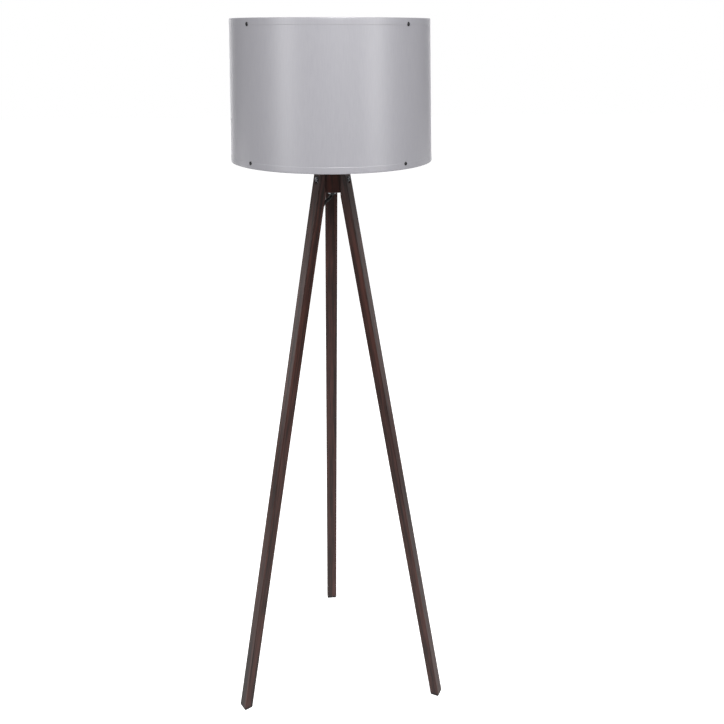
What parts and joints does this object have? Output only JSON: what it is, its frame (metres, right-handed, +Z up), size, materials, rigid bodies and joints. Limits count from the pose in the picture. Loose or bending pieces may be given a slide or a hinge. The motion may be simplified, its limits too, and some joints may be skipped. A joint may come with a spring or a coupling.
{
  "type": "tripod floor lamp",
  "caption": "Floor lamp: straight dark wooden tripod legs bolted to a hexagonal hub, with a satin grey drum shade on a screw lampholder and a corded plug.",
  "frame": {"origin": "on the floor, on the axis of the stem between the legs", "axes": "+Z up along the stem, +Y towards the rear leg, +X to the right seen from the front"},
  "size_m": [0.47, 0.4575, 1.467],
  "materials": {
    "leg_wood": "dark walnut stain, satin, fine straight grain",
    "hub_wood": "dark walnut stain, satin",
    "pad_rubber": "moulded, matt",
    "dark_steel": "black-nickel plated screws, glossy",
    "zinc_steel": "zinc plated, bright",
    "brass": "turned",
    "dowel_wood": "plain beech",
    "black_plastic": "moulded thermoplastic, fine matt",
    "white_plastic": "moulded insulating core",
    "shade_fabric": "silver-grey satin laminated on plastic sheet",
    "white_enamel": "powder coated steel",
    "rivet_plastic": "moulded snap rivets",
    "bulb_glass": "opal white",
    "bulb_metal": "spun cap",
    "black_glass": "fused black insulator",
    "cord_pvc": "extruded PVC sheath",
    "copper": "bare and insulated copper conductors",
    "tie_fabric": "hook-and-loop tape"
  },
  "bodies": {
    "root": {"leg_left": "leg_wood", "leg_right": "leg_wood", "leg_rear": "leg_wood", "foot_pads": "pad_rubber", "hub": "hub_wood", "leg_bolts": "dark_steel", "threaded_inserts": "brass", "locating_dowels": "dowel_wood", "stem_tube": "zinc_steel", "lower_washer": "zinc_steel", "upper_washer": "zinc_steel", "lower_nut": "zinc_steel", "upper_nut": "zinc_steel", "end_bushing": "black_plastic", "holder_cap": "black_plastic", "holder_shell": "black_plastic", "holder_core": "white_plastic", "screw_sleeve": "brass", "centre_contact": "brass", "terminals": "brass", "inner_lead": "cord_pvc", "lead_conductors": "copper", "power_cord": "cord_pvc", "cord_hank": "cord_pvc", "cord_tail": "cord_pvc", "cord_tie": "tie_fabric", "tie_mount": "black_plastic", "cord_clips": "black_plastic", "strain_relief": "cord_pvc", "plug_body": "black_plastic", "plug_pins": "bulb_metal"},
    "bulb": {"bulb_glass": "bulb_glass", "bulb_cap": "bulb_metal", "bulb_insulator": "black_glass", "bulb_tip": "bulb_metal"},
    "shade": {"shade_cover": "shade_fabric", "lower_hoop": "white_enamel", "upper_hoop": "white_enamel", "lower_spider": "white_enamel", "shade_rivets": "rivet_plastic"},
    "shade_ring": {"shade_ring_nut": "black_plastic"},
    "switch_knob": {"switch_spindle": "zinc_steel", "switch_knob": "black_plastic"}
  },
  "joints": [
    {"name": "bulb_turn", "type": "hinge", "parent": "root", "child": "bulb", "pos_m": [0, 0, 1.26], "axis": [0, 0, 1], "continuous": true},
    {"name": "shade_turn", "type": "hinge", "parent": "root", "child": "shade", "pos_m": [0, 0, 1.2325], "axis": [0, 0, 1], "continuous": true},
    {"name": "shade_ring_turn", "type": "hinge", "parent": "root", "child": "shade_ring", "pos_m": [0, 0, 1.237], "axis": [0, 0, 1], "continuous": true},
    {"name": "switch_turn", "type": "hinge", "parent": "root", "child": "switch_knob", "pos_m": [0.00362, 0.02575, 1.2215], "axis": [0.1392, 0.9903, 0], "continuous": true}
  ]
}
